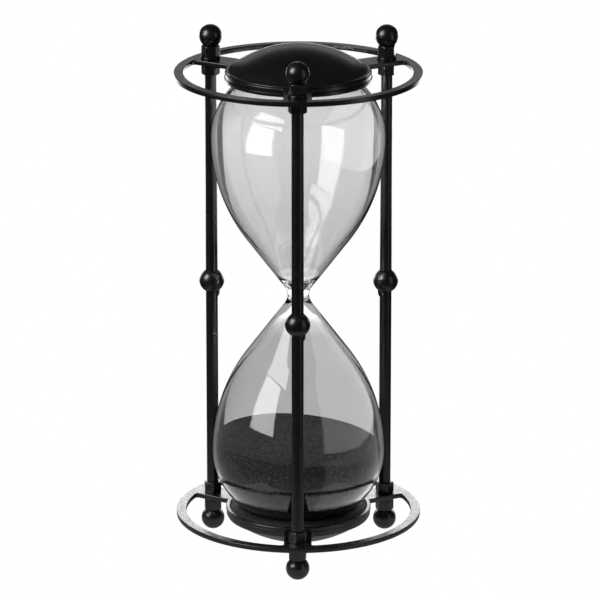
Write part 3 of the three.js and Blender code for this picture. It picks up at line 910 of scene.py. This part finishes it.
# The sand's edge is where a tilted plane meets the cavity, found by trying again from the last edge;
# below it the sand follows the glass. The top is the plane with slow waves and a fine unevenness
# that fade out at the edge.
def sandBed(sizes):
    _, inside = vesselChains(bulbSizes)
    chain = inside * np.array([1, -1])
    wall = chain[(chain[:, 0] > sizes["wallRadius"]) & (chain[:, 1] < sizes["wallTop"])]
    angle = np.linspace(0, 2 * np.pi, sizes["columns"], endpoint=False)
    slope = math.tan(math.radians(sizes["tilt"]))
    middle = sizes["level"] - halfHeight
    edge = np.full(len(angle), sizes["edgeGuess"])
    for _ in range(sizes["edgeTries"]):
        height = middle - slope * edge * np.cos(angle)
        edge = np.interp(height, wall[:, 1], wall[:, 0])
        edge = wavy(edge, height, angle, "inside") - sizes["inset"]
    share = np.sqrt(np.linspace(0, 1, sizes["topRows"]))[:, None]
    radius = share * edge
    x, y = radius * np.cos(angle), radius * np.sin(angle)
    fade = 1 - share ** sizes["rippleFade"]
    first, second, third, fourth = sizes["rippleLengths"]
    waves = np.sin(x / first + 0.8) * np.cos(y / second - 0.4) + 0.5 * np.sin(x / third - y / fourth)
    rough = np.random.default_rng(sizes["seed"]).normal(0, sizes["grain"], x.shape)
    rough[0], waves[0] = rough[0, 0], waves[0, 0]
    top = middle - slope * x + fade * (sizes["ripple"] * waves + rough)
    steps = np.concatenate([[0], np.cumsum(np.linalg.norm(np.diff(chain, axis=0), axis=1))])
    reach = np.interp(middle - slope * edge * np.cos(angle), chain[:, 1], steps)
    place = reach * np.linspace(1, 0, sizes["sideRows"])[:, None]
    sideHeight, sideRadius = (np.interp(place, steps, chain[:, axis]) for axis in (1, 0))
    sideRadius = np.maximum(wavy(sideRadius, sideHeight, angle, "inside") - sizes["inset"], 0)
    sideHeight = sideHeight + sizes["inset"] * np.clip(1 - sideRadius / sizes["floorRadius"], 0, 1)
    sideRadius[0], sideHeight[0] = edge, top[-1]
    sideRadius[-1] = 0
    return joined([
        gridShape(x, y, top, True),
        gridShape(sideRadius * np.cos(angle), sideRadius * np.sin(angle), sideHeight, True),
    ])


makePiece("sandBed", sandBed(sandSizes), sand, ["sand_bed"])

speckSizes = {
    "count": 70, "size": (0.10, 0.30), "uneven": (0.6, 1.1), "lift": 0.05, "heights": (30, 88),
    "nearest": 15, "seed": 11,
}


# Stray grains that cling to the cavity's wall, each a small uneven octahedron. The lower bulb has
# twice as many as the upper one.
def sandSpecks(sizes):
    rng = np.random.default_rng(sizes["seed"])
    _, inside = vesselChains(bulbSizes)
    lowest, highest = sizes["heights"]
    upper = inside[(inside[:, 1] > lowest) & (inside[:, 0] > sizes["nearest"])]
    lower = upper[upper[:, 1] < highest] * np.array([1, -1])
    chain = np.vstack([upper, lower, lower])
    place = chain[rng.integers(0, len(chain), sizes["count"])]
    angle = rng.uniform(0, 2 * np.pi, sizes["count"])
    size = rng.uniform(*sizes["size"], sizes["count"])
    radius = place[:, 0] + wander(place[:, 1], angle, "inside") - size - sizes["lift"]
    centre = np.stack([radius * np.cos(angle), radius * np.sin(angle), place[:, 1]], axis=-1)
    tips = np.array([[1, 0, 0], [0, 1, 0], [-1, 0, 0], [0, -1, 0], [0, 0, 1], [0, 0, -1]], float)
    uneven = rng.uniform(*sizes["uneven"], (sizes["count"], len(tips), 1))
    points = centre[:, None] + tips * uneven * size[:, None, None]
    up = np.array([[0, 1, 4], [1, 2, 4], [2, 3, 4], [3, 0, 4]])
    down = np.array([[1, 0, 5], [2, 1, 5], [3, 2, 5], [0, 3, 5]])
    faces = np.vstack([up, down]) + len(tips) * np.arange(sizes["count"])[:, None, None]
    return points.reshape(-1, 3), faces.reshape(-1, 3)


makePiece("sandSpecks", sandSpecks(speckSizes), sand, [])
print("sand made")


# Floor, world, lights and camera

# Near and far hold a distance from the axis in metres and a strength there, as floorShine does.
stageLook = {
    "floorSize": 30,
    "floorDrop": 0.0005,
    "white": 1.0,
    "near": (0.36, 0.88),
    "far": (0.95, 1.36),
    "skyShine": 0.03,
    "floorShine": ((0.10, 0.30), (0.24, 0.03)),
    "bounced": 0.30,
    "floorFill": 0.10,
    "skyFill": 0.30,
    "farSideBoost": 2.2,
}
floorLevel = cadLow.z - stageLook["floorDrop"]


# Whether a ray has met at least so many surfaces of a kind on its way, as 1 or 0.
def hasMet(tree, kind, count):
    depth = addNode(tree, "ShaderNodeLightPath").outputs[kind + " Depth"]
    return computed(tree, "GREATER_THAN", depth, count - 0.5)


# The stage's strength: full to the eye, greyer through glass and fainter still where glass has also
# mirrored the ray, dim in the mirror of paint, and a set amount as a fill light.
def stageStrength(tree, through, shine, fill, look):
    path = addNode(tree, "ShaderNodeLightPath").outputs
    fainter = computed(tree, "MULTIPLY", through, look["bounced"])
    through = mixedValue(tree, hasMet(tree, "Glossy", 1), through, fainter)
    strength = mixedValue(tree, path["Is Transmission Ray"], shine, through)
    strength = mixedValue(tree, path["Is Camera Ray"], strength, look["white"])
    return mixedValue(tree, hasMet(tree, "Diffuse", 1), strength, fill)


# A floor that is pure white to the eye and greyer near the object when it is seen through glass.
def makeFloor(look):
    half = look["floorSize"] / 2
    mesh = bpy.data.meshes.new("floor")
    corners = [(x * half, y * half, floorLevel) for x, y in ((-1, -1), (1, -1), (1, 1), (-1, 1))]
    mesh.from_pydata(corners, [], [(0, 1, 2, 3)])
    floor = bpy.data.objects.new("floor", mesh)
    bpy.context.collection.objects.link(floor)
    material = bpy.data.materials.new("paleFloor")
    material.use_nodes = True
    tree = material.node_tree
    tree.nodes.clear()
    reach = addNode(tree, "ShaderNodeVectorMath", {0: placeOf(tree)}, operation="LENGTH").outputs["Value"]
    (nearReach, nearStrength), (farReach, farStrength) = look["near"], look["far"]
    through = ranged(tree, reach, nearReach, farReach, nearStrength, farStrength)
    (nearShine, nearShineStrength), (farShine, farShineStrength) = look["floorShine"]
    shine = ranged(tree, reach, nearShine, farShine, nearShineStrength, farShineStrength)
    strength = stageStrength(tree, through, shine, look["floorFill"], look)
    emission = addNode(tree, "ShaderNodeEmission", {"Color": (1, 1, 1, 1), "Strength": strength})
    output = addNode(tree, "ShaderNodeOutputMaterial")
    tree.links.new(emission.outputs[0], output.inputs["Surface"])
    mesh.materials.append(material)


# White behind everything the camera sees, dimmer as a light and in reflections.
def makeWorld(look):
    world = bpy.data.worlds.new("studio")
    bpy.context.scene.world = world
    world.use_nodes = True
    tree = world.node_tree
    tree.nodes.clear()
    strength = stageStrength(tree, look["far"][1], look["skyShine"], look["skyFill"], look)
    background = addNode(tree, "ShaderNodeBackground", {"Color": (1, 1, 1, 1), "Strength": strength})
    output = addNode(tree, "ShaderNodeOutputWorld")
    tree.links.new(background.outputs[0], output.inputs["Surface"])


# An area light facing a target. A painted light falls on everything but the glass, which neither
# blocks it nor shows it. A glass light is only ever mirrored by the glass, more strongly in its far
# side, where the ray has crossed three surfaces; a farGlass light is mirrored there alone.
def softbox(name, spot, target, width, height, radiance, receivers):
    spot, target = Vector(spot), Vector(target)
    light = bpy.data.lights.new(name, "AREA")
    light.shape = "RECTANGLE"
    light.size, light.size_y = width, height
    light.energy = radiance * math.pi * width * height
    lamp = bpy.data.objects.new(name, light)
    bpy.context.collection.objects.link(lamp)
    turn = (target - spot).to_track_quat("-Z", "Y").to_matrix().to_4x4()
    lamp.matrix_world = Matrix.Translation(spot) @ turn
    lamp.visible_camera = False
    light.use_nodes = True
    tree = light.node_tree
    if receivers == "painted":
        lamp.light_linking.receiver_collection = lit["painted"]
        lamp.light_linking.blocker_collection = lit["painted"]
        throughGlass = addNode(tree, "ShaderNodeLightPath").outputs["Is Transmission Ray"]
        strength = mixedValue(tree, throughGlass, 1.0, 0.0)
    else:
        lamp.light_linking.receiver_collection = lit["glass"]
        nearSide = 0.0 if receivers == "farGlass" else 1.0
        strength = mixedValue(tree, hasMet(tree, "Transmission", 3), nearSide, stageLook["farSideBoost"])
        strength = mixedValue(tree, hasMet(tree, "Glossy", 1), 0.0, strength)
    tree.links.new(strength, tree.nodes["Emission"].inputs["Strength"])


# A point at an azimuth in degrees, a distance from the axis and a height.
def around(azimuth, distance, height):
    turn = math.radians(azimuth)
    return distance * math.cos(turn), distance * math.sin(turn), height


lit = {name: bpy.data.collections.new(name) for name in ("glass", "painted")}
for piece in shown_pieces():
    lit["glass" if piece == vessel else "painted"].objects.link(piece)

onFloor = floorLevel + 0.0001

# Each light's place, its target, its width, height and radiance, and what it is for.
boxes = {
    "leftLow": (around(-142, 0.6, 0.371), (0, 0, 0.371), 0.39, 0.442, 5.4, "glass"),
    "leftHigh": (around(-138.5, 0.6, 0.773), (0, 0, 0.773), 0.56, 0.330, 4.2, "glass"),
    "leftTop": (around(-140, 0.6, 1.13), (0, 0, 1.13), 0.50, 0.36, 4.2, "farGlass"),
    "rightCard": ((0.6, -0.13, 0.5), (0, -0.13, 0.5), 1.44, 1.0, 1.0, "glass"),
    "floorCard": (around(-26, 0.515, onFloor), (0.469, -0.234, 1), 0.50, 0.90, 0.26, "glass"),
    "key": (around(-152, 2.0, 1.46), (0, 0, 0.16), 1.2, 1.4, 7.0, "painted"),
    "rim": (around(-32, 0.9, 0.25), (0, 0, 0.25), 0.10, 1.2, 1.6, "painted"),
    "footLight": ((0, 0, onFloor), (0, 0, 1), 0.20, 0.20, 0.32, "glass"),
    "backLow": (around(90, 0.5, 0.165), (0, 0, 0.165), 0.9, 0.23, 4.0, "painted"),
    "backHigh": (around(90, 1.2, 0.62), (0, 0, 0.62), 1.0, 0.36, 0.55, "painted"),
}
cameraSizes = {
    "lens": 291.2, "sensor": 36, "clip": 40, "elevation": 16.89, "turn": 0.378, "distance": 2.957,
    "target": (0.001, 0, -0.00345),
}


# A long-lens camera looking slightly down.
def makeCamera(sizes):
    up, turn = math.radians(sizes["elevation"]), math.radians(sizes["turn"])
    ahead = Vector((-math.sin(turn) * math.cos(up), math.cos(turn) * math.cos(up), -math.sin(up)))
    right = Vector((math.cos(turn), math.sin(turn), 0))
    over = right.cross(ahead)
    target = Vector(sizes["target"]) + Vector((0, 0, midHeight))
    lens = bpy.data.cameras.new("camera")
    lens.lens, lens.sensor_width, lens.clip_end = sizes["lens"], sizes["sensor"], sizes["clip"]
    camera = bpy.data.objects.new("camera", lens)
    bpy.context.collection.objects.link(camera)
    facing = Matrix((right, over, -ahead)).transposed().to_4x4()
    camera.matrix_world = Matrix.Translation(target - ahead * sizes["distance"]) @ facing
    bpy.context.scene.camera = camera


makeFloor(stageLook)
makeWorld(stageLook)
for name, values in boxes.items():
    softbox(name, *values)
makeCamera(cameraSizes)
bpy.context.scene.view_settings.view_transform = "Standard"
print("stage made")
